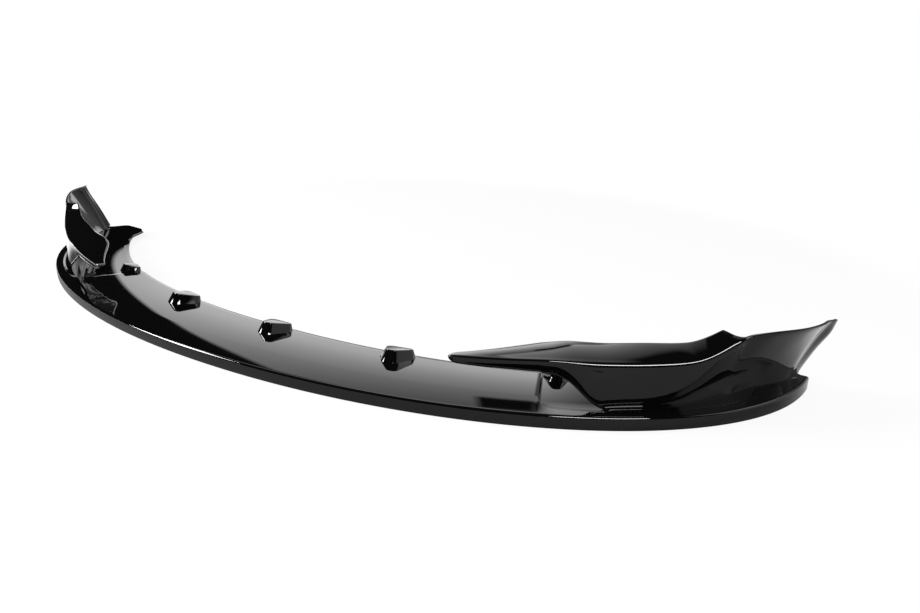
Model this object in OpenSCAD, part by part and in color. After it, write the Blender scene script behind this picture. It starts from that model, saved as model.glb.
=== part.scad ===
// Front splitter lip for a car bumper, moulded as one thin shell.
// X is across the car, the front points to -Y, Z is up.
// The origin is under the middle of the part's box, on the surface it stands on.
// Every section is drawn in a vertical plane square to the leading edge, as
// [distance in from the leading edge, height], and is placed by the edge's angle:
// 90 degrees is the middle of the car, 0 and 180 degrees are its two sides.

/* [Blade] */
// Half the width of the leading edge at its rear ends
edge_half_w = 850; // [780:1:900]
// Front to back distance from the leading edge's middle to its widest point
edge_sweep = 430; // [400:1:470]
// Fullness of the leading edge, where 2 is an ellipse
edge_fullness = 2.05; // [1.9:0.01:2.3]
// Angle along the leading edge at which it ends
edge_end = 1.8; // [1:0.1:3]
// Depth of the blade in its middle, square to the leading edge
blade_depth = 175; // [165:1:185]
// Height of the front face
face_h = 21; // [16:0.5:26]
// Height of the blade's top at its rear edge
rear_h = 6; // [5.5:0.5:14]
// Crown of the blade's top from front to rear, where 1 is a straight fall
crown = 2; // [1.6:0.1:2.4]
// Wall thickness of the moulding
wall = 3; // [2.5:0.1:4]
// Rounding of the front face's upper edge
edge_round = 4; // [3.2:0.1:6]
// How far the rounded tab at each end reaches back
end_tab = 32; // [10:1:45]

/* [Locating blocks] */
// Distance from the blade's rear edge to a block's rear face
block_setback = 3; // [1:0.5:5]
// Angle along the leading edge from the middle block to its neighbours
block_step = 18.6; // [17:0.1:21]
// Angle along the leading edge from the middle block to the end blocks
end_block_step = 41.5; // [40:0.1:43]
// Width of a block at its front foot
block_front_w = 37; // [32:1:44]
// Width of a block at its rear foot
block_rear_w = 62; // [54:1:68]
// Depth of a block at its foot
block_d = 57; // [50:1:62]
// Height of a block above the blade, at its front
block_h = 18; // [16:0.5:20]
// Height of a block above the blade, at its rear
block_rear_h = 12; // [11:0.5:15]
// How far a block's front face leans back
block_front_draft = 10; // [8:0.5:13]
// How far each side of a block leans in
block_side_draft = 8.5; // [6:0.5:10]
// Rounding of a block's upright edges
block_round = 10; // [9:0.5:11]
// Size of the blocks next to the winglets, as a part of the others'
end_block_share = 0.7; // [0.7:0.05:0.9]

/* [End pads] */
// Depth of the sunken pad at each end of the blade
pad_sink = 2; // [0.5:0.1:3]
// Angle along the leading edge at which the pad starts
pad_start = 50.8; // [50:0.1:52]

/* [Winglets] */
// Angle along the leading edge of the nose's tip
nose_angle = 61.6; // [61:0.1:63]
// Height of the nose's lower edge above the blade
nose_rise = 50.5; // [46:0.5:53]
// Height of the crease above the front face, along its straight part
crease_rise = 66; // [63:0.5:70]
// Height of the side wall's top above the front face
top_rise = 107.5; // [100:0.5:112]
// Height of the ledge's peak above the front face
peak_rise = 103; // [100:0.5:108]
// Rounding of the crease
crease_round = 7; // [5:0.5:9]
// How far the side wall bows inward between its two edges
wall_bow = 4; // [0:0.5:6]
// Width of the flared flange at the wheel arch, at its widest
flange_w = 11; // [6:0.5:12]
// Gap between a winglet's rear end and the blade
tail_gap = 4; // [2:0.5:8]

/* [Hidden] */
// Steps of the angle between sections
blade_step = 2.5;
wing_step = 1.3;
// Blade depth along the edge, as [angle, part of the depth in the middle]
depth_part = [[0, 0.62], [8, 0.7], [19, 0.79], [30, 0.86], [45, 0.91], [60, 0.955], [75, 0.985], [90, 1]];
// Inset of the pad's front line
pad_line_in = [[0, 20], [36, 16], [43, 16.5], [48, 19.5], [49.2, 23], [50.1, 29], [50.65, 42], [51, 60]];
// Angle over which the pad's inner end steps down, and over which it fades at the rear
pad_step = 0.3;
pad_fade = [14, 22];
// Inset at which the end tab begins, and the angle over which it fades
tab_in = 12;
tab_span = 6;
// Softening of a block's upper edges, and the height of the thin posts a block is drawn over
block_soft = 2.5;
layer_h = 0.1;
// How deep the winglet's foot runs into the blade
foot_sink = 2.2;
// Angle at which the side wall stops being joined to the blade
foot_end = 6;
// Width left to the ledge behind the notch
lip_w = wall + 1.5;
// Angle of the wall's rear end at its foot, and how much it leans forward at its top
tail_angle = 1.9;
tail_lean = 2.3;
tail_span = 12;
flare_span = 3;
// Flange width up the rear edge, as [part of the wall's height, part of the full width]
flange_part = [[0, 0], [0.25, 0.4], [0.5, 0.7], [0.78, 1], [1, 0.6]];
// Length of the nose's rounded tip, as an angle
tip_span = 0.8;
// Height of the outward roll along the foot
roll_h = 4;
roll_out = 1.6;

// Leading edge seen from above: a quarter of a superellipse, mirrored about X = 0
function edge_point(a) =
    let (p = 2 / edge_fullness)
    [sign(cos(a)) * edge_half_w * pow(abs(cos(a)), p),
     edge_sweep * (1 - pow(max(0, sin(a)), p))];

function edge_normal(a) =
    let (t = edge_point(min(a + 0.2, 180)) - edge_point(max(a - 0.2, 0)), l = norm(t))
    a <= 0 ? [-1, 0] : a >= 180 ? [1, 0] : [t[1] / l, -t[0] / l];

// Point seen from above at inset s, before the origin is moved to the box's middle
function plan_point(a, s) = edge_point(a) + edge_normal(a) * s;

// A section point, given as [inset, height], set at angle a of the leading edge
function place(a, p) =
    let (q = plan_point(a, p[0]))
    [q[0], q[1] - origin_y, p[1]];

// Smooth value at angle a, through knots of [angle, value] in rising order
function slope(k, i) =
    i == 0 ? (k[1][1] - k[0][1]) / (k[1][0] - k[0][0]) :
    i == len(k) - 1 ? (k[i][1] - k[i - 1][1]) / (k[i][0] - k[i - 1][0]) :
    (k[i + 1][1] - k[i - 1][1]) / (k[i + 1][0] - k[i - 1][0]);

function span_of(k, a, i = 0) =
    i >= len(k) - 2 || a <= k[i + 1][0] ? i : span_of(k, a, i + 1);

function smooth(k, a) =
    let (i = span_of(k, a), w = k[i + 1][0] - k[i][0],
         t = min(1, max(0, (a - k[i][0]) / w)),
         m0 = slope(k, i) * w, m1 = slope(k, i + 1) * w)
    (2 * t * t * t - 3 * t * t + 1) * k[i][1] + (t * t * t - 2 * t * t + t) * m0 +
    (3 * t * t - 2 * t * t * t) * k[i + 1][1] + (t * t * t - t * t) * m1;

function ease(t) = let (u = min(1, max(0, t))) u * u * (3 - 2 * u);

// The same angle on the right-hand half
function right(a) = min(a, 180 - a);

// A solid skinned over rings that all have the same number of points
module skin(rings) {
    n = len(rings[0]);
    last = (len(rings) - 1) * n;
    polyhedron(
        points = [for (r = rings) for (p = r) p],
        faces = concat(
            [[for (j = [0 : n - 1]) j]],
            [for (i = [0 : len(rings) - 2]) for (j = [0 : n - 1])
                let (a = i * n + j, b = i * n + (j + 1) % n)
                [a, a + n, b + n, b]],
            [[for (j = [n - 1 : -1 : 0]) last + j]]),
        convexity = 10);
}

// Blade: a thin crowned plate that falls to the rear, whose front edge turns down into the front face
function blade_w(a) = blade_depth * smooth(depth_part, right(a));

function pad_line(a) = smooth(pad_line_in, right(a) + 50.8 - pad_start);

function pad_drop(a) =
    pad_sink * ease((pad_start - right(a)) / pad_step + 0.5) *
    ease((right(a) - pad_fade[0]) / (pad_fade[1] - pad_fade[0]));

function crown_at(s) = face_h - (face_h - rear_h) * pow(s / blade_depth, crown);

function top_at(a, s) = crown_at(s) - pad_drop(a) * ease((s - pad_line(a)) / 2);

function blade_section(a) =
    let (w = blade_w(a), r = edge_round, q = pad_line(a), mid = (q + w) / 2)
    concat(
        [[0.8, 0], [0, 0.8], [0, face_h - r]],
        [for (t = [22.5 : 22.5 : 67.5]) [r - r * cos(t), face_h - r + r * sin(t)]],
        [for (s = [r, q, q + 2, 0.6 * q + 0.4 * mid, mid, 0.5 * mid + 0.5 * w, w - 1]) [s, top_at(a, s)]],
        [[w, top_at(a, w) - 1]],
        [for (s = [w, 0.5 * mid + 0.5 * w, mid, q + 2, q, wall + 2]) [s, top_at(a, s) - wall]],
        [[wall + 0.6, face_h - wall - 1], [wall, face_h - wall - 2.4], [wall, 0]]);

// The ends reach back in a rounded tab
function tab_shift(a, s) =
    end_tab * ease((s - tab_in) / 30) * (1 - ease((right(a) - edge_end) / tab_span)) *
    (1 - 0.4 * ease((s - blade_w(a)) / 24 + 1));

function blade_ring(a) =
    [for (p = blade_section(a)) place(a, p) + [0, tab_shift(a, p[0]), 0]];

origin_y = max([for (p = blade_section(edge_end)) plan_point(edge_end, p[0])[1] + tab_shift(edge_end, p[0])]) / 2;

half_stations = concat(
    [edge_end, 3.2],
    [for (a = [5 : blade_step : 47.5]) a],
    [for (d = [-1.7, -0.8, -pad_step / 2, pad_step / 2]) pad_start + d],
    [for (a = [52.5 : blade_step : 87.5]) a]);

module blade() {
    n = len(half_stations);
    skin([for (a = concat(half_stations, [90], [for (i = [n - 1 : -1 : 0]) 180 - half_stations[i]]))
        blade_ring(a)]);
}

// Locating block: hollow from below, wider at the rear, with leaning sides and a soft top
module block_post(x, y, z, r) {
    translate([x, y, z])
        cylinder(r = max(r, layer_h), h = layer_h, $fn = 20);
}

module block_form(share, gap, low) {
    r = share * block_round - gap;
    front_x = share * block_front_w / 2 - gap - r;
    rear_x = share * block_rear_w / 2 - gap - r;
    front_y = gap + r;
    rear_y = share * block_d - gap - r;
    hull()
        for (side = [-1, 1]) {
            block_post(side * front_x, front_y, low, r);
            block_post(side * rear_x, rear_y, low, r);
            for (down = [block_soft, layer_h]) {
                drawn_in = block_soft - down;
                block_post(side * (front_x - share * block_side_draft), front_y + share * block_front_draft,
                    share * block_h - gap - down, r - drawn_in);
                block_post(side * (rear_x - share * block_side_draft), rear_y,
                    share * block_rear_h - gap - down, r - drawn_in);
            }
        }
}

// Blocks stand square to the sloping blade, each drawn from the middle of its front foot
module at_block(a, share) {
    s = blade_w(a) - block_setback - share * block_d;
    fall = (crown_at(s) - crown_at(s + share * block_d)) / (share * block_d);
    n = edge_normal(a);
    translate(place(a, [s, crown_at(s)]))
        rotate([0, 0, atan2(n[1], n[0]) - 90])
            rotate([-atan(fall), 0, 0])
                children();
}

// Blocks as [angle, size share]
blocks = [
    [90 - end_block_step, end_block_share], [90 - block_step, 1], [90, 1],
    [90 + block_step, 1], [90 + end_block_step, end_block_share]];

module block_shells() {
    for (b = blocks)
        at_block(b[0], b[1])
            block_form(b[1], 0, -wall);
}

module block_hollows() {
    for (b = blocks)
        at_block(b[0], b[1])
            block_form(b[1], wall, -2 * wall);
}

// Winglet guide lines for the right-hand side, as [angle, inset] and [angle, height].
// Insets are measured from the leading edge. The foot's heights are measured from
// the blade below it, the other heights from the top of the front face.
foot_in = [[0, 14], [2, 17], [4, 21], [6, 25], [8, 30.5], [10, 36.5], [12, 42], [14, 46], [16, 48.5],
    [18, 49.5], [20, 49], [24, 44.5], [28, 39], [32, 33], [36, 29.5], [40, 29], [42, 28], [43, 27],
    [44, 28.5], [45, 32], [46, 37.5], [47, 42], [48, 44], [50, 42.5], [52, 41], [56, 40], [nose_angle, 41]];
foot_up = [[0, tail_gap], [2, tail_gap], [4, tail_gap * 0.5], [foot_end, -foot_sink],
    [foot_end + 3, -foot_sink], [41.4, -foot_sink], [42.4, 0], [43.2, 3.3], [44, 8], [45, 16.3], [46, 25.7],
    [47, 34.5], [48, 40.5], [49, 45.3], [50, nose_rise - 1.7], [52, nose_rise - 0.7], [54, nose_rise],
    [60, nose_rise], [nose_angle, nose_rise + 3]];
crease_in = [[0, -20], [6, -21], [9, -18.5], [12, -13], [16, -1], [20, 10], [22, 14.8], [24, 17.5],
    [28, 20.8], [32, 24.6], [36, 29], [42, 32.7], [46, 33.8], [50, 33], [54, 34], [58, 36], [nose_angle, 39]];
crease_up = [[0, top_rise], [8, top_rise + 1], [16, top_rise], [20, top_rise - 2], [22, top_rise - 5],
    [24, peak_rise - 10], [26, peak_rise - 19], [28, 0.4 * peak_rise + 0.6 * crease_rise - 4.8],
    [30, crease_rise + 4.5], [33, crease_rise + 1.5], [38, crease_rise], [46, crease_rise + 0.3], [50, crease_rise + 1.5],
    [54, crease_rise - 0.5], [58, crease_rise - 3], [nose_angle, crease_rise - 6]];
ledge_in = [[24.4, 48.5], [26, 53], [28, 58], [33, 68.5], [39, 82], [45, 92], [49, 100], [51, 99.5],
    [54, 88], [57, 73], [60, 58.5], [nose_angle, 53]];
ledge_up = [[24.4, peak_rise], [26, peak_rise - 8], [28, peak_rise - 16], [30, peak_rise - 20.5],
    [36, peak_rise - 24], [42, peak_rise - 29], [47, peak_rise - 31], [50, peak_rise - 36],
    [54, peak_rise - 40], [60, peak_rise - 44], [nose_angle, peak_rise - 45.5]];
// The ledge runs out between its peak and the notch in the top edge
notch_angle = 22.2;
peak_angle = 24.4;

function foot_point(a) = let (s = smooth(foot_in, a)) [s, top_at(a, s) + smooth(foot_up, a)];

function crease_point(a) = [smooth(crease_in, a), face_h + smooth(crease_up, a)];

function ledge_point(a) =
    let (c = crease_point(a), t = ease((a - notch_angle) / (peak_angle - notch_angle)),
         e = [smooth(ledge_in, max(a, peak_angle)), face_h + smooth(ledge_up, max(a, peak_angle))],
         edge = c + [lip_w, 0])
    edge + (e - edge) * t;

// One side of the wall's section: up from the foot, round the crease, along the ledge
function wing_side(f, c, e, bow, r) =
    let (h = norm(c - f), g = norm(e - c), rr = min(r, 0.42 * g, 0.42 * h),
         p1 = c + (f - c) * rr / h, p2 = c + (e - c) * rr / g)
    concat(
        [for (i = [0 : 6]) let (t = i / 6) f + (p1 - f) * t + [bow * 4 * t * (1 - t), 0]],
        [for (i = [1 : 4]) let (t = i / 4)
            (1 - t) * (1 - t) * p1 + 2 * t * (1 - t) * c + t * t * p2],
        [for (i = [1 : 3]) let (t = i / 3) p2 + (e - p2) * t]);

function wing_section(a) =
    let (f = foot_point(a), c = crease_point(a), e = ledge_point(a),
         w = min(wall, 0.4 * norm(e - c), 0.4 * norm(c - f)),
         bow = wall_bow * ease(norm(c - f) / 60),
         outer = wing_side(f, c, e, bow, crease_round),
         inner = wing_side(f + [w, 0], c + [w, -w], e + [0, -w], bow, crease_round - wall))
    concat(
        [f - [min(roll_out, w / 2), 0], f + (c - f) * min(0.3, roll_h / norm(c - f))],
        [for (i = [1 : len(outer) - 1]) outer[i]],
        [for (i = [len(inner) - 1 : -1 : 0]) inner[i]]);

// Sections shrink towards their middle over the last stretch of the nose
function tip_scale(a) =
    let (t = min(1, max(0, (a - nose_angle) / tip_span + 1)))
    max(0.3, sqrt(1 - t * t));

function tip_section(a) =
    let (m = (foot_point(a) + crease_point(a) + ledge_point(a)) / 3)
    [for (p = wing_section(a)) m + (p - m) * tip_scale(a)];

// The rear edge leans forward towards its top and flares outward round the wheel arch
function tail_shift(a, p) =
    let (k = max(0, (p[1] - face_h) / top_rise), back = max(0, 1 - (a - tail_angle) / tail_span))
    [a + tail_lean * k * back * back,
     [p[0] - flange_w * smooth(flange_part, k) * (1 - ease((a - tail_angle) / flare_span)), p[1]]];

function wing_ring(a) =
    [for (p = tip_section(a)) let (q = tail_shift(a, p)) place(q[0], q[1])];

module winglet() {
    body_end = nose_angle - tip_span;
    steps = ceil((body_end - tail_angle) / wing_step);
    skin([for (a = concat(
        [for (i = [0 : steps]) tail_angle + (body_end - tail_angle) * i / steps],
        [for (t = [0.5, 0.8, 1]) body_end + tip_span * t]))
        wing_ring(a)]);
}

module splitter_lip() {
    color([0.03, 0.03, 0.035]) {
        difference() {
            union() {
                blade();
                block_shells();
            }
            block_hollows();
        }
        winglet();
        mirror([1, 0, 0]) winglet();
    }
}

splitter_lip();
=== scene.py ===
from math import atan, atan2, ceil, copysign, cos, degrees, pi, radians, sin, sqrt

import bmesh
import bpy
from mathutils import Matrix, Vector


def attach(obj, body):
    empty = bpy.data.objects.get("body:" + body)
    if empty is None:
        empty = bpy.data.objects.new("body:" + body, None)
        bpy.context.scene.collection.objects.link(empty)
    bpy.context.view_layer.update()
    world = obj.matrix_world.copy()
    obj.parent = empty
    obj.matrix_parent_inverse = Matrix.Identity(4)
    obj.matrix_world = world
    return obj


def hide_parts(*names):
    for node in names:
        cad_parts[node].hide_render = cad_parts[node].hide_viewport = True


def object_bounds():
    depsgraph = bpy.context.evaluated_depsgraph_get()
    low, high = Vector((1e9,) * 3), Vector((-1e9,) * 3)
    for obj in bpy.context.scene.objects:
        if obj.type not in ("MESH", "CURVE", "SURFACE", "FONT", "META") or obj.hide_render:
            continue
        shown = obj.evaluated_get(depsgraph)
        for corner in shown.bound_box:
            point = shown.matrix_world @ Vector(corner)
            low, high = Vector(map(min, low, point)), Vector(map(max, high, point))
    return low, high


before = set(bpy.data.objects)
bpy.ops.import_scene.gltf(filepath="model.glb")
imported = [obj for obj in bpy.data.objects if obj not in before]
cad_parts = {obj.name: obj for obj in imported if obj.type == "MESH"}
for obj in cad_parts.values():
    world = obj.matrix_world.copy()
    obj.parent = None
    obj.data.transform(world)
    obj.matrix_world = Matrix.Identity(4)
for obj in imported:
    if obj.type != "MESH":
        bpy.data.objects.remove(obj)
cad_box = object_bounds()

# Sizes of the lip, in millimetres and degrees. They are the CAD model's, but for touches that move its
# surface by a few millimetres: the blocks' widths, rear height and rounding, the nose's height, and the
# crown and bow of the winglets' faces. Right and left are as seen from the front, so right is along +X.
MM = 0.001
EDGE_HALF_W, EDGE_SWEEP, EDGE_FULLNESS, EDGE_END = 850, 430, 2.05, 1.8
BLADE_DEPTH, FACE_H, REAR_H, CROWN, WALL, EDGE_ROUND = 175, 21, 6, 2, 3, 4
END_TAB, TAB_IN, TAB_RUN, TAB_SPAN, TAB_CORNER, TAB_CORNER_RUN = 32, 12, 30, 6, 0.4, 24
BLOCK_SETBACK, BLOCK_STEP, END_BLOCK_STEP, END_BLOCK_SHARE = 3, 18.6, 41.5, 0.7
BLOCK_FRONT_W, BLOCK_REAR_W, BLOCK_D, BLOCK_H, BLOCK_REAR_H = 43, 65, 57, 18, 13.5
BLOCK_FRONT_DRAFT, BLOCK_SIDE_DRAFT, BLOCK_ROUND, BLOCK_SOFT = 10, 8.5, 19, 2
PAD_SINK, PAD_START, PAD_STEP, PAD_RAMP = 2, 50.8, 0.3, 2
PAD_FADE_START, PAD_FADE_END = 14, 22
NOSE_ANGLE, NOSE_RISE, CREASE_RISE, TOP_RISE, PEAK_RISE = 61.6, 48.5, 66, 107.5, 103
CREASE_ROUND, LEDGE_CROWN, FLANGE_W, TAIL_GAP = 7, 3.5, 11, 4
FOOT_SINK, FOOT_END, LIP_W = 2.2, 6, WALL + 1.5
TAIL_ANGLE, TAIL_LEAN, TAIL_SPAN, FLARE_SPAN = 1.9, 2.3, 12, 3
TIP_SPAN, TIP_SIZE = 0.8, 0.12
ROLL_H, ROLL_OUT = 4, 1.6
NOTCH_ANGLE, PEAK_ANGLE = 22.2, 24.4

# Small rounds of the blade's section: at the foot of the face, at the rear edge and inside
FOOT_ROUND, FOOT_MID, REAR_ROUND, RIM_BEVEL = 1.1, 0.3, 0.9, 0.5
INNER_ROUND, INNER_MID, INNER_DROP = 1.2, 0.3, 2.6

# Largest part of a winglet's face that the crease's round, the wall's thickness and the rolled foot take
ROUND_PART, WALL_PART, ROLL_PART = 0.42, 0.4, 0.3
# Height of a side wall that has its full bow, and how the ledge's crown grows with the ledge's width
FULL_BOW_H, CROWN_RUN, CROWN_START = 60, 70, 0.2

# Guide lines along the leading edge, as (angle, value). A name with IN is an inset from the edge. A name
# with UP is a height, over the blade for the foot and over the front face for the crease and the ledge.
DEPTH_PART = [(0, 0.62), (8, 0.7), (19, 0.79), (30, 0.86), (45, 0.91), (60, 0.955), (75, 0.985), (90, 1)]
PAD_LINE_IN = [(0, 20), (36, 16), (43, 16.5), (48, 19.5), (49.2, 23), (50.1, 29), (50.65, 42), (51, 60)]
BOW_ALONG = [(0, 4), (14, 5), (24, 4), (32, 0), (40, -2), (48, -2), (54, -1), (NOSE_ANGLE, 0)]
FOOT_IN = [
    (0, 14), (2, 17), (4, 21), (6, 25), (8, 30.5), (10, 36.5), (12, 42), (14, 46), (16, 48.5),
    (18, 49.5), (20, 49), (24, 44.5), (28, 39), (32, 33), (36, 29.5), (40, 29), (42, 28), (43, 27),
    (44, 28.5), (45, 32), (46, 37.5), (47, 42), (48, 44), (50, 42.5), (52, 41), (56, 40), (NOSE_ANGLE, 41)]
FOOT_UP = [
    (0, TAIL_GAP), (2, TAIL_GAP), (4, TAIL_GAP * 0.5), (FOOT_END, -FOOT_SINK), (FOOT_END + 3, -FOOT_SINK),
    (41.4, -FOOT_SINK), (42.4, 0), (43.2, 3.3), (44, 8), (45, 16.3), (46, 25.7), (47, 34.5), (48, 40.5),
    (49, 45.3), (50, NOSE_RISE - 1.7), (52, NOSE_RISE - 0.7), (54, NOSE_RISE), (60, NOSE_RISE),
    (NOSE_ANGLE, NOSE_RISE + 3)]
CREASE_IN = [
    (0, -20), (6, -21), (9, -18.5), (12, -13), (16, -1), (20, 10), (22, 14.8), (24, 17.5), (28, 20.8),
    (32, 24.6), (36, 29), (42, 32.7), (46, 33.8), (50, 33), (54, 34), (58, 36), (NOSE_ANGLE, 39)]
CREASE_UP = [
    (0, TOP_RISE), (8, TOP_RISE + 1), (16, TOP_RISE), (20, TOP_RISE - 2), (22, TOP_RISE - 5),
    (24, PEAK_RISE - 10), (26, PEAK_RISE - 19), (28, 0.4 * PEAK_RISE + 0.6 * CREASE_RISE - 4.8),
    (30, CREASE_RISE + 4.5), (33, CREASE_RISE + 1.5), (38, CREASE_RISE), (46, CREASE_RISE + 0.3),
    (50, CREASE_RISE + 1.5), (54, CREASE_RISE - 0.5), (58, CREASE_RISE - 3), (NOSE_ANGLE, CREASE_RISE - 6)]
LEDGE_IN = [
    (PEAK_ANGLE, 48.5), (26, 53), (28, 58), (33, 68.5), (39, 82), (45, 92), (49, 100), (51, 99.5), (54, 88),
    (57, 73), (60, 58.5), (NOSE_ANGLE, 53)]
LEDGE_UP = [
    (PEAK_ANGLE, PEAK_RISE), (26, PEAK_RISE - 8), (28, PEAK_RISE - 16), (30, PEAK_RISE - 20.5),
    (36, PEAK_RISE - 24), (42, PEAK_RISE - 29), (47, PEAK_RISE - 31), (50, PEAK_RISE - 36),
    (54, PEAK_RISE - 40), (60, PEAK_RISE - 44), (NOSE_ANGLE, PEAK_RISE - 45.5)]
# Width of the rear flange up the side wall, as (part of the height, part of the width)
FLANGE_PART = [(0, 0), (0.25, 0.4), (0.5, 0.7), (0.78, 1), (1, 0.6)]

# Fineness of the mesh: points along each stretch of a winglet's section and round a block's corners,
# degrees between two sections of a winglet, and the angle from which an edge is sharp
ROLL_POINTS, WALL_POINTS, TURN_POINTS, LEDGE_POINTS = 5, 14, 11, 13
FRONT_CORNER_POINTS, REAR_CORNER_POINTS = 7, 9
WING_STEP, SHARP_FROM = 0.4, 38
# Where the points of the blade's section begin: past the front edge's round, past the wall inside it, and
# how far they keep from the pad's line on either side
PAST_ROUND, PAST_WALL, BEFORE_PAD, PAST_PAD = 2, 2.5, 1, 8
# Distances in metres within which points are merged: at a skin's seam, and across the mirror
SEAM_MERGE, MIRROR_MERGE = 1e-7, 1e-6


# Leading edge and guide lines

def spread(lo, hi, count):
    """Evenly spaced values from lo to hi, both included."""
    return [lo + (hi - lo) * i / (count - 1) for i in range(count)]


def ease(t):
    """A soft step, from 0 at 0 and below to 1 at 1 and above."""
    u = min(1, max(0, t))
    return u * u * (3 - 2 * u)


def smooth(knots, at):
    """Value of a smooth curve through the knots."""
    i = 0
    while i < len(knots) - 2 and at > knots[i + 1][0]:
        i += 1

    def slope(j):
        lo, hi = max(j - 1, 0), min(j + 1, len(knots) - 1)
        return (knots[hi][1] - knots[lo][1]) / (knots[hi][0] - knots[lo][0])

    width = knots[i + 1][0] - knots[i][0]
    t = min(1, max(0, (at - knots[i][0]) / width))
    return ((2 * t**3 - 3 * t**2 + 1) * knots[i][1] + (t**3 - 2 * t**2 + t) * slope(i) * width
            + (3 * t**2 - 2 * t**3) * knots[i + 1][1] + (t**3 - t**2) * slope(i + 1) * width)


def right_half(angle):
    """The same place on the right half, where an angle is 90 at the middle of the car."""
    return min(angle, 180 - angle)


def edge_point(angle):
    """Point of the leading edge, half a superellipse, seen from above."""
    c, s, p = cos(radians(angle)), sin(radians(angle)), 2 / EDGE_FULLNESS
    return Vector((copysign(EDGE_HALF_W * abs(c) ** p, c), EDGE_SWEEP * (1 - max(0, s) ** p)))


def edge_normal(angle):
    """Direction square to the leading edge, towards the rear."""
    step = 0.2
    along = edge_point(min(angle + step, 180)) - edge_point(max(angle - step, 0))
    return Vector((-1, 0)) if angle <= 0 else Vector((along.y, -along.x)).normalized()


def place(angle, inset, height, back=0):
    """Point in metres at an inset from the leading edge and a height, moved back by so much."""
    p = edge_point(angle) + edge_normal(angle) * inset
    return Vector((p.x, p.y + back, height)) * MM + Vector((0, cad_box[0].y, 0))


# Blade

def blade_width(angle):
    return BLADE_DEPTH * smooth(DEPTH_PART, right_half(angle))


def pad_line(angle):
    return smooth(PAD_LINE_IN, right_half(angle))


def pad_drop(angle):
    """Depth of the sunken pad, which starts at a step and fades out to the rear."""
    a = right_half(angle)
    begun = ease((PAD_START - a) / PAD_STEP + 0.5)
    left = ease((a - PAD_FADE_START) / (PAD_FADE_END - PAD_FADE_START))
    return PAD_SINK * begun * left


def crown_at(inset):
    """Height of the crowned blade, level at its front edge and falling in a curve to the rear."""
    return FACE_H - (FACE_H - REAR_H) * (inset / BLADE_DEPTH) ** CROWN


def top_at(angle, inset):
    return crown_at(inset) - pad_drop(angle) * ease((inset - pad_line(angle)) / PAD_RAMP)


def tab_shift(angle, inset):
    """How far the end tab reaches back here. It reaches less at the blade's inner edge."""
    grown = ease((inset - TAB_IN) / TAB_RUN)
    left = 1 - ease((right_half(angle) - EDGE_END) / TAB_SPAN)
    corner = 1 - TAB_CORNER * ease((inset - blade_width(angle)) / TAB_CORNER_RUN + 1)
    return END_TAB * grown * left * corner


def blade_section(angle):
    """The blade's outline, from the foot of the front face over the top and back underneath."""
    width, line, r, soft = blade_width(angle), pad_line(angle), EDGE_ROUND, REAR_ROUND
    rear, inner_top = top_at(angle, width), FACE_H - WALL
    foot = [(FOOT_ROUND, 0), (FOOT_MID, FOOT_MID), (0, FOOT_ROUND)]
    front_edge = [(r - r * cos(radians(t)), FACE_H - r + r * sin(radians(t))) for t in spread(0, 90, 10)]
    top_insets = (spread(r + PAST_ROUND, line - BEFORE_PAD, 3) + spread(line, line + PAD_RAMP, 5)
                  + spread(line + PAST_PAD, width - soft, 12))
    rear_edge = [(width - soft + soft * sin(radians(t)), rear - soft + soft * cos(radians(t)))
                 for t in (30, 60, 90)]
    under_insets = (spread(WALL + PAST_WALL, line - BEFORE_PAD, 3) + spread(line, line + PAD_RAMP, 3)
                    + spread(line + PAST_PAD, width - RIM_BEVEL, 8))
    inside = [(WALL + INNER_ROUND, inner_top - INNER_MID), (WALL + INNER_MID, inner_top - INNER_ROUND),
              (WALL, inner_top - INNER_DROP), (WALL, RIM_BEVEL), (WALL - RIM_BEVEL, 0)]
    return (foot + front_edge + [(s, top_at(angle, s)) for s in top_insets]
            + rear_edge + [(width, rear - WALL + RIM_BEVEL)]
            + [(s, top_at(angle, s) - WALL) for s in reversed(under_insets)] + inside)


def blade_ring(angle):
    return [place(angle, s, z, tab_shift(angle, s)) for s, z in blade_section(angle)]


# Winglets

def foot_point(angle):
    inset = smooth(FOOT_IN, angle)
    return Vector((inset, top_at(angle, inset) + smooth(FOOT_UP, angle)))


def crease_point(angle):
    return Vector((smooth(CREASE_IN, angle), FACE_H + smooth(CREASE_UP, angle)))


def ledge_point(angle):
    """The ledge's inner edge, which is drawn in to the crease behind the notch."""
    at = max(angle, PEAK_ANGLE)
    full = Vector((smooth(LEDGE_IN, at), FACE_H + smooth(LEDGE_UP, at)))
    lip = crease_point(angle) + Vector((LIP_W, 0))
    return lip.lerp(full, ease((angle - NOTCH_ANGLE) / (PEAK_ANGLE - NOTCH_ANGLE)))


def arch(t, height):
    """Height of a shallow arch over a line from 0 to 1, highest in the middle."""
    return height * 4 * t * (1 - t)


def wing_side(foot, crease, ledge, bow, crown, r, roll):
    """One face of the winglet: up the bowed wall, round the crease and along the crowned ledge."""
    rise, run = (crease - foot).length, (ledge - crease).length
    r = min(r, ROUND_PART * rise, ROUND_PART * run)
    turn_in, turn_out = crease + (foot - crease) * r / rise, crease + (ledge - crease) * r / run
    rolled = min(ROLL_PART, ROLL_H / rise)
    wall = [foot.lerp(turn_in, t) + Vector((arch(t, bow) - roll * max(0, 1 - t / rolled) ** 2, 0))
            for t in spread(0, rolled, ROLL_POINTS) + spread(rolled, 1, WALL_POINTS)[1:]]
    turn = [(1 - t) ** 2 * turn_in + 2 * t * (1 - t) * crease + t * t * turn_out
            for t in spread(0, 1, TURN_POINTS)[1:]]
    flat = [turn_out.lerp(ledge, t) + Vector((0, arch(t, crown))) for t in spread(0, 1, LEDGE_POINTS)[1:]]
    return wall + turn + flat


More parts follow.
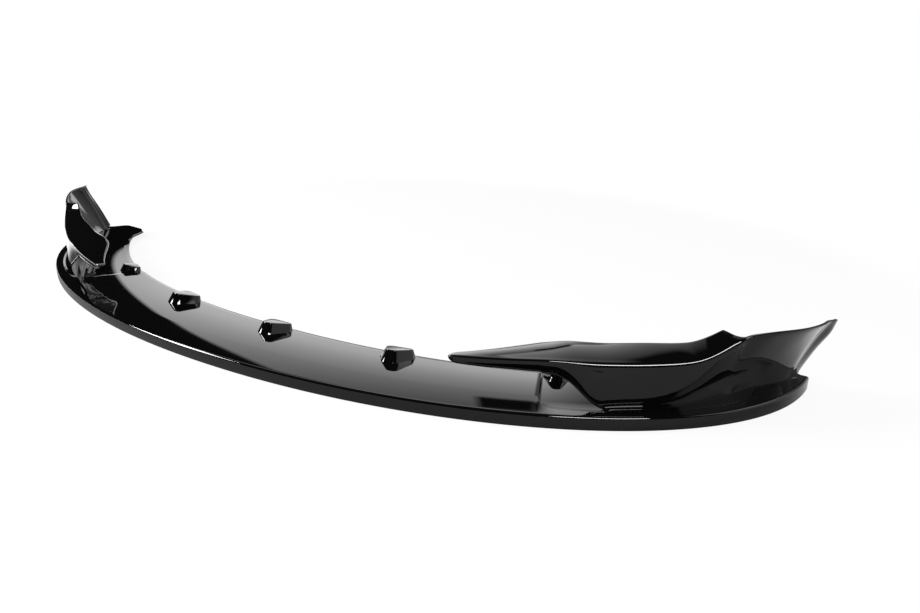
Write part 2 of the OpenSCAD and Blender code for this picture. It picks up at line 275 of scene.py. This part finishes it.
def wing_section(angle):
    """The winglet's thin wall: its outer face, its rounded inner edge and its inner face."""
    foot, crease, ledge = foot_point(angle), crease_point(angle), ledge_point(angle)
    rise, run = (crease - foot).length, (ledge - crease).length
    w = min(WALL, WALL_PART * run, WALL_PART * rise)
    bow = smooth(BOW_ALONG, angle) * ease(rise / FULL_BOW_H)
    crown = LEDGE_CROWN * ease(run / CROWN_RUN - CROWN_START)
    outer = wing_side(foot, crease, ledge, bow, crown, CREASE_ROUND, min(ROLL_OUT, w / 2))
    inner = wing_side(foot + Vector((w, 0)), crease + Vector((w, -w)), ledge - Vector((0, w)),
                      bow, crown, CREASE_ROUND - WALL, 0)
    edge = [ledge + Vector((w / 3 * sin(radians(t)), w / 2 * (cos(radians(t)) - 1)))
            for t in (30, 60, 90, 120, 150)]
    return outer + edge + inner[::-1]


def wing_ring(angle):
    """A section, drawn in at the nose's tip, and leant and flared at the rear edge."""
    past = min(1, max(0, (angle - NOSE_ANGLE) / TIP_SPAN + 1))
    size = max(TIP_SIZE, sqrt(1 - past * past))
    middle = (foot_point(angle) + crease_point(angle) + ledge_point(angle)) / 3
    back = max(0, 1 - (angle - TAIL_ANGLE) / TAIL_SPAN)
    ring = []
    for p in wing_section(angle):
        p = middle.lerp(p, size)
        up = max(0, (p.y - FACE_H) / TOP_RISE)
        flare = FLANGE_W * smooth(FLANGE_PART, up) * (1 - ease((angle - TAIL_ANGLE) / FLARE_SPAN))
        ring.append(place(angle + TAIL_LEAN * up * back * back, p.x - flare, p.y))
    return ring


# Locating blocks

def block_ring(share, gap, drawn_in, up, low=None):
    """A level of a block: a rounded outline, wider at the rear, at its foot or round its sloping top."""
    r = share * BLOCK_ROUND - gap
    front_x, rear_x = (share * w / 2 - gap - r for w in (BLOCK_FRONT_W, BLOCK_REAR_W))
    front_y, rear_y = gap + r, share * BLOCK_D - gap - r
    if low is None:
        r -= share * BLOCK_SIDE_DRAFT
        front_y += share * (BLOCK_FRONT_DRAFT - BLOCK_SIDE_DRAFT)
        rear_y += share * BLOCK_SIDE_DRAFT
    lean = degrees(atan2(rear_x - front_x, rear_y - front_y))
    corners = [(front_x, front_y, spread(-90, -lean, FRONT_CORNER_POINTS)),
               (rear_x, rear_y, spread(-lean, 90, REAR_CORNER_POINTS))]
    right_side = [(x + (r - drawn_in) * cos(radians(t)), y + (r - drawn_in) * sin(radians(t)))
                  for x, y, turns in corners for t in turns]
    ring = []
    for x, y in right_side + [(-x, y) for x, y in reversed(right_side)]:
        along = (y - front_y) / (rear_y - front_y)
        top = share * (BLOCK_H + (BLOCK_REAR_H - BLOCK_H) * along) - gap
        ring.append(Vector((x, y, low if low is not None else top - BLOCK_SOFT + up)) * MM)
    return ring


def block_seat(angle, share):
    """Where a block stands: the middle of its front foot, on the crowned blade."""
    deep = share * BLOCK_D
    inset, normal = blade_width(angle) - BLOCK_SETBACK - deep, edge_normal(angle)
    fall = (crown_at(inset) - crown_at(inset + deep)) / deep
    return (Matrix.Translation(place(angle, inset, crown_at(inset)))
            @ Matrix.Rotation(atan2(normal.y, normal.x) - pi / 2, 4, "Z")
            @ Matrix.Rotation(-atan(fall), 4, "X"))


def block_rings(angle, share, gap, low):
    """From the foot up, then over the soft upper edge."""
    levels = [(BLOCK_SOFT * (1 - cos(radians(t))), BLOCK_SOFT * sin(radians(t))) for t in spread(0, 90, 6)]
    rings = [block_ring(share, gap, 0, 0, low)]
    rings += [block_ring(share, gap, inward, up) for inward, up in levels]
    seat = block_seat(angle, share)
    return [[seat @ p for p in ring] for ring in rings]


# Mesh making

def loft(bm, rings):
    """Bends a flat grid round the rings, closes the seam and caps both ends."""
    across, along = len(rings[0]), len(rings) - 1
    made = bmesh.ops.create_grid(bm, x_segments=across, y_segments=along, size=1)["verts"]
    for v in made:
        column, row = round((v.co.x + 1) / 2 * across), round((v.co.y + 1) / 2 * along)
        v.co = rings[row][column % across]
    bmesh.ops.remove_doubles(bm, verts=made, dist=SEAM_MERGE)
    rim = [e for e in bm.edges if e.is_boundary]
    caps = bmesh.ops.holes_fill(bm, edges=rim, sides=0)["faces"]
    bmesh.ops.triangulate(bm, faces=caps)


def solid(name, several_rings, mirrored=False):
    """An object of one or more closed lofts, with their mirror images where it has both sides."""
    bm = bmesh.new()
    for rings in several_rings:
        loft(bm, rings)
    if mirrored:
        everything = bm.verts[:] + bm.edges[:] + bm.faces[:]
        bmesh.ops.mirror(bm, geom=everything, axis="X", merge_dist=MIRROR_MERGE)
    bmesh.ops.recalc_face_normals(bm, faces=bm.faces[:])
    mesh = bpy.data.meshes.new(name)
    bm.to_mesh(mesh)
    bm.free()
    obj = bpy.data.objects.new(name, mesh)
    bpy.context.collection.objects.link(obj)
    return obj


def combine(obj, other, operation):
    """Joins another solid on, or cuts it out, and drops it."""
    step = obj.modifiers.new(operation.lower(), "BOOLEAN")
    step.operation, step.object, step.solver = operation, other, "MANIFOLD"
    bpy.context.view_layer.update()
    mesh = bpy.data.meshes.new_from_object(obj.evaluated_get(bpy.context.evaluated_depsgraph_get()))
    obj.modifiers.clear()
    obj.data = mesh
    bpy.data.objects.remove(other)


def blade_angles():
    """Where the blade's sections stand: closer at the ends, and closest where the pad steps down."""
    half = (spread(EDGE_END, 10, 18) + spread(10.75, 49, 52) + spread(49.3, PAD_START - PAD_STEP, 6)
            + spread(PAD_START - PAD_STEP / 2, PAD_START + PAD_STEP / 2, 5) + spread(51.5, 89.25, 51))
    return half + [90] + [180 - a for a in reversed(half)]


def wing_angles():
    """Where a winglet's sections stand: evenly, then closer and closer round the nose's tip."""
    body_end = NOSE_ANGLE - TIP_SPAN
    return (spread(TAIL_ANGLE, body_end, ceil((body_end - TAIL_ANGLE) / WING_STEP))
            + [body_end + TIP_SPAN * sin(radians(t)) for t in (20, 38, 54, 68, 80, 86)])


def splitter_lip():
    """The whole moulding in one skin: the blade, five blocks hollow from below, and two winglets."""
    blocks = [(90 - END_BLOCK_STEP, END_BLOCK_SHARE), (90 - BLOCK_STEP, 1), (90, 1),
              (90 + BLOCK_STEP, 1), (90 + END_BLOCK_STEP, END_BLOCK_SHARE)]
    lip = solid("splitter_lip_skin", [[blade_ring(a) for a in blade_angles()]])
    shells = solid("block_shells", [block_rings(a, share, 0, -WALL) for a, share in blocks])
    hollows = solid("block_hollows", [block_rings(a, share, WALL, -2 * WALL) for a, share in blocks])
    winglets = solid("winglets", [[wing_ring(a) for a in wing_angles()]], mirrored=True)
    combine(lip, shells, "UNION")
    combine(lip, hollows, "DIFFERENCE")
    combine(lip, winglets, "UNION")
    lip.data.shade_smooth()
    lip.data.set_sharp_from_angle(angle=radians(SHARP_FROM))
    return lip


# Materials

class Wire:
    """A shader socket that can be used in sums, as a number can."""

    def __init__(self, tree, socket):
        self.tree, self.socket = tree, socket

    def math(self, operation, *values):
        return make_node(self.tree, "ShaderNodeMath", {"operation": operation}, dict(enumerate(values)))[0]

    def __add__(self, other):
        return self.math("ADD", self, other)

    def __sub__(self, other):
        return self.math("SUBTRACT", self, other)

    def __rsub__(self, other):
        return self.math("SUBTRACT", other, self)

    def __mul__(self, other):
        return self.math("MULTIPLY", self, other)

    def __truediv__(self, other):
        return self.math("DIVIDE", self, other)

    def at_least(self, low):
        return self.math("MAXIMUM", self, low)

    def clamped(self):
        return self.math("MINIMUM", self, 1).at_least(0)

    __radd__, __rmul__ = __add__, __mul__


class Made:
    """A node's outputs, by number or name."""

    def __init__(self, tree, node):
        self.tree, self.node = tree, node

    def __getitem__(self, key):
        return Wire(self.tree, self.node.outputs[key])


def make_node(tree, kind, settings, sockets):
    """A node with its settings made first, then the values or links of its sockets."""
    node = tree.nodes.new(kind)
    for key, value in settings.items():
        setattr(node, key, value)
    for key, value in sockets.items():
        if isinstance(value, Wire):
            tree.links.new(value.socket, node.inputs[key])
        else:
            node.inputs[key].default_value = value
    return Made(tree, node)


def empty_tree(owner):
    owner.use_nodes = True
    owner.node_tree.nodes.clear()
    return owner.node_tree


def grey(value):
    return (value, value, value, 1)


def blend_colours(tree, share, first, second):
    """A mix of two colours, which are a Mix node's inputs 6 and 7 and leave by its output 2."""
    return make_node(tree, "ShaderNodeMix", {"data_type": "RGBA"}, {0: share, 6: first, 7: second})[2]


def noise(tree, where, scale, detail):
    return make_node(tree, "ShaderNodeTexNoise", {}, {"Vector": where, "Scale": scale, "Detail": detail})[0]


def beyond(wire, edge, soft):
    """0 below the edge and 1 above it, over a soft step."""
    return ((wire - edge) / soft + 0.5).clamped()


def below(wire, edge, soft):
    return 1 - beyond(wire, edge, soft)


def between(wire, start, end):
    """1 from one edge to the other and 0 past them, where an edge is (place, softness)."""
    return beyond(wire, *start) * below(wire, *end)


# The gloss: its colours where it is deepest and haziest, its patterns as (scale, detail), how much of each
# goes into the haze, the roughness and what the patterns add to it, and the lacquer's index and ripple
DEEP_BLACK, HAZY_BLACK = (0.0014, 0.0014, 0.0016, 1), (0.0034, 0.0034, 0.0038, 1)
HAZE_PATTERN, SPECK_PATTERN, RIPPLE_PATTERN = (5.0, 4.0), (900.0, 2.0), (240.0, 1.5)
HAZE_SHARE, SPECK_SHARE = 0.7, 0.3
ROUGHNESS, HAZE_ROUGHNESS, SPECK_ROUGHNESS = 0.015, 0.03, 0.01
LACQUER_INDEX, RIPPLE_STRENGTH, RIPPLE_DEPTH = 1.5, 0.03, 0.0002


def gloss_black():
    """Moulded plastic under deep black gloss: a faint haze, and a fine ripple as the lacquer has."""
    mat = bpy.data.materials.new("gloss_black_moulding")
    tree = empty_tree(mat)
    where = make_node(tree, "ShaderNodeTexCoord", {}, {})["Object"]
    haze = noise(tree, where, *HAZE_PATTERN)
    specks = noise(tree, where, *SPECK_PATTERN)
    ripple = noise(tree, where, *RIPPLE_PATTERN)
    hazy = (haze * HAZE_SHARE + specks * SPECK_SHARE).clamped()
    bump = make_node(tree, "ShaderNodeBump", {}, {
        "Strength": RIPPLE_STRENGTH, "Distance": RIPPLE_DEPTH, "Height": ripple})["Normal"]
    shader = make_node(tree, "ShaderNodeBsdfPrincipled", {}, {
        "Base Color": blend_colours(tree, hazy, DEEP_BLACK, HAZY_BLACK),
        "Roughness": ROUGHNESS + haze * HAZE_ROUGHNESS + specks * SPECK_ROUGHNESS, "IOR": LACQUER_INDEX,
        "Coat Weight": 1.0, "Coat Roughness": ROUGHNESS, "Coat IOR": LACQUER_INDEX, "Normal": bump})[0]
    make_node(tree, "ShaderNodeOutputMaterial", {}, {"Surface": shader})
    return mat


# Studio

DEGREE = 180 / pi
# Strengths of the world: what lights the lip, and what its gloss shows of the dark studio, of the glow and
# of the screen's lower part
AMBIENT, STUDIO_DARK, GLOW, SCREEN_DIM = 0.5, 0.004, 0.17, 0.35

# The floor: its half width in metres, its grey in the gloss, which is painted shade, and the edges in
# metres, as (place, softness), from which the gloss shows it white as painted light, behind the lip and
# past its left end
FLOOR_HALF_W, FLOOR_PAINTED_SHADE_IN_GLOSS = 30, 0.22
FLOOR_PAINTED_LIGHT_REAR, FLOOR_PAINTED_LIGHT_LEFT = (0.2, 0.2), (-0.8, 0.16)
# How much of the floor near the lip is plain white to the camera, which leaves the rest to take the shadow,
# and the edge past which all of it is
FLOOR_WHITE, FLOOR_ALL_WHITE = 0.86, (1.7, 1.0)

# What the gloss shows of the studio, with its edges in degrees as (place, softness). A turn is 0 to the
# right and 90 to the rear, and a rise is 0 at the horizon. The paper ends at two slanted lines.
PAPER_START, PAPER_TOP, PAPER_SLANT, PAPER_STEEP_SLANT = (112, 4), (30, 1.5), (160, 1), (272.7, 1.4)
PAPER_STEEPNESS, PAPER_DIMS_FROM, PAPER_DIMS_BY, PAPER_LEAST = 1.8, 11.5, 0.0435, 0.3
SHADE_END, SHADE_TOP, SHADE_DEPTH = (123, 2), (4.2, 1), 0.8
FLAG_START, FLAG_END, FLAG_FOOT, FLAG_TOP = (114, 1), (119.3, 0.8), (24, 0.8), (27.5, 1)
SKY_START, SKY_MIDDLE, SKY_END, SKY_LOW_FOOT, SKY_FOOT = (100, 6), (114, 2), (150, 6), (25, 4), (30, 2)
SKY_DIMS_FROM, SKY_DIMS_BY = 25, 0.0207
GLOW_START, GLOW_TOP = (68, 10), (24, 6)
SCREEN_START, SCREEN_END, SCREEN_FOOT, SCREEN_TOP = (-12, 5), (75, 8), (-2, 4), (52, 3)
SCREEN_BRIGHT_FROM = (37, 6)

# Lamps: name, place and aim in metres, width and height in metres, power in watts
SOFTBOXES = [
    ("key_softbox", (1.85, -1.5, 2.1), (0.65, -0.05, 0.06), (1.25, 0.6), 36),
    ("fill_softbox", (-2.03, -1.16, 1.25), (-0.45, -0.1, 0.02), (0.7, 1.0), 50),
    ("left_softbox", (-2.02, -0.37, 1.78), (-0.85, 0.1, 0.1), (0.4, 0.36), 6)]

# The photograph's camera: its turn and rise in degrees, its place in metres from the middle of the leading
# edge, its focal length and picture width in pixels, and its sensor's width in millimetres
VIEW_TURN, VIEW_RISE, VIEW_X, VIEW_Y, VIEW_Z = 31.07, 21.27, 0.9288, -0.7503, 0.5409
FOCAL_PX, PICTURE_W_PX, SENSOR_W = 757, 920, 36


def studio_floor():
    """A plain pale floor that keeps the lip's soft shadow. It is white to the camera. In the gloss it has
    painted shade as grey in front, and painted light as white behind the lip and past its left end.
    """
    bm = bmesh.new()
    bmesh.ops.create_grid(bm, x_segments=1, y_segments=1, size=FLOOR_HALF_W)
    mesh = bpy.data.meshes.new("studio_floor")
    bm.to_mesh(mesh)
    bm.free()
    floor = bpy.data.objects.new("studio_floor", mesh)
    bpy.context.collection.objects.link(floor)
    mat = bpy.data.materials.new("pale_floor")
    tree = empty_tree(mat)
    seen = make_node(tree, "ShaderNodeLightPath", {}, {})["Is Camera Ray"]
    where = make_node(tree, "ShaderNodeTexCoord", {}, {})["Object"]
    away = make_node(tree, "ShaderNodeVectorMath", {"operation": "LENGTH"}, {0: where})["Value"]
    axes = make_node(tree, "ShaderNodeSeparateXYZ", {}, {0: where})
    # Painted light and shade seen only in the gloss: white behind the lip and past its left end, grey
    # elsewhere
    painted_lit = beyond(axes[1], *FLOOR_PAINTED_LIGHT_REAR) + below(axes[0], *FLOOR_PAINTED_LIGHT_LEFT)
    colour = blend_colours(tree, (seen + painted_lit).clamped(), grey(FLOOR_PAINTED_SHADE_IN_GLOSS), grey(1.0))
    near = make_node(tree, "ShaderNodeBsdfDiffuse", {}, {"Color": colour})[0]
    far = make_node(tree, "ShaderNodeEmission", {}, {"Color": grey(1.0), "Strength": 1.0})[0]
    white = seen * (FLOOR_WHITE + beyond(away, *FLOOR_ALL_WHITE)).clamped()
    shader = make_node(tree, "ShaderNodeMixShader", {}, {0: white, 1: near, 2: far})[0]
    make_node(tree, "ShaderNodeOutputMaterial", {}, {"Surface": shader})
    mesh.materials.append(mat)


def white_paper(turn, rise):
    """The backdrop behind the lip: it darkens upwards, and has a shaded low corner and a dark flag."""
    paper = (1 - (rise - PAPER_DIMS_FROM) * PAPER_DIMS_BY).at_least(PAPER_LEAST).clamped()
    paper = (paper * beyond(turn, *PAPER_START) * below(turn * PAPER_STEEPNESS + rise, *PAPER_STEEP_SLANT)
             * below(turn + rise, *PAPER_SLANT))
    paper = paper * (1 - SHADE_DEPTH * below(turn, *SHADE_END) * below(rise, *SHADE_TOP))
    flag = between(turn, FLAG_START, FLAG_END) * between(rise, FLAG_FOOT, FLAG_TOP)
    return (paper * below(rise, *PAPER_TOP) * (1 - flag)).clamped()


def studio_sky(turn, rise):
    """Light above the paper. It fades upwards, and comes lower on the right, beside the paper."""
    sky = (1 - (rise - SKY_DIMS_FROM) * SKY_DIMS_BY).clamped() * below(turn, *SKY_END)
    beside = between(turn, SKY_START, SKY_MIDDLE) * beyond(rise, *SKY_LOW_FOOT)
    above = beyond(turn, *SKY_MIDDLE) * beyond(rise, *SKY_FOOT)
    return (sky * (beside + above)).clamped()


def low_glow(turn, rise):
    """A faint grey low down on the right of the paper."""
    return GLOW * between(turn, GLOW_START, PAPER_START) * below(rise, *GLOW_TOP)


def right_screen(turn, rise):
    """A large screen on the right of the lip, brighter in its upper part."""
    screen = between(turn, SCREEN_START, SCREEN_END) * between(rise, SCREEN_FOOT, SCREEN_TOP)
    return screen * (SCREEN_DIM + (1 - SCREEN_DIM) * beyond(rise, *SCREEN_BRIGHT_FROM))


def studio_world():
    """White to the camera. The gloss shows the paper, the lights round it and the dark studio."""
    world = bpy.data.worlds.new("studio")
    bpy.context.scene.world = world
    tree = empty_tree(world)
    way = make_node(tree, "ShaderNodeTexCoord", {}, {})["Generated"]
    axes = make_node(tree, "ShaderNodeSeparateXYZ", {}, {0: way})
    side, ahead, up = axes[0], axes[1], axes[2]
    turn, rise = side.math("ARCTAN2", ahead, side) * DEGREE, up.math("ARCSINE", up) * DEGREE
    gloss = (STUDIO_DARK + white_paper(turn, rise) + studio_sky(turn, rise) + low_glow(turn, rise)
             + right_screen(turn, rise))
    path = make_node(tree, "ShaderNodeLightPath", {}, {})
    level = AMBIENT + path["Is Glossy Ray"] * (gloss - AMBIENT)
    level = level + path["Is Camera Ray"] * (1 - level)
    shade = make_node(tree, "ShaderNodeBackground", {}, {"Color": grey(1.0), "Strength": level})[0]
    make_node(tree, "ShaderNodeOutputWorld", {}, {"Surface": shade})


def softbox(name, position, aim, size, power):
    data = bpy.data.lights.new(name, "AREA")
    data.shape, data.size, data.size_y, data.energy = "RECTANGLE", size[0], size[1], power
    lamp = bpy.data.objects.new(name, data)
    lamp.location = position
    lamp.rotation_euler = (Vector(aim) - Vector(position)).to_track_quat("-Z", "Y").to_euler()
    bpy.context.collection.objects.link(lamp)


def photo_camera():
    """The photograph's view, from the front right and above."""
    turn, rise = radians(VIEW_TURN), radians(VIEW_RISE)
    back = Vector((sin(turn) * cos(rise), -cos(turn) * cos(rise), sin(rise)))
    data = bpy.data.cameras.new("photo_camera")
    data.sensor_width, data.lens = SENSOR_W, SENSOR_W * FOCAL_PX / PICTURE_W_PX
    camera = bpy.data.objects.new("photo_camera", data)
    camera.location = (VIEW_X, VIEW_Y + cad_box[0].y, VIEW_Z)
    camera.rotation_euler = (-back).to_track_quat("-Z", "Y").to_euler()
    bpy.context.collection.objects.link(camera)
    bpy.context.scene.camera = camera


# The lip in its studio

lip = splitter_lip()
lip.data.materials.clear()
lip.data.materials.append(gloss_black())
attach(lip, "root")
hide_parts("splitter_lip")

studio_floor()
studio_world()
for lamp_values in SOFTBOXES:
    softbox(*lamp_values)
photo_camera()
bpy.context.scene.view_settings.view_transform = "Standard"
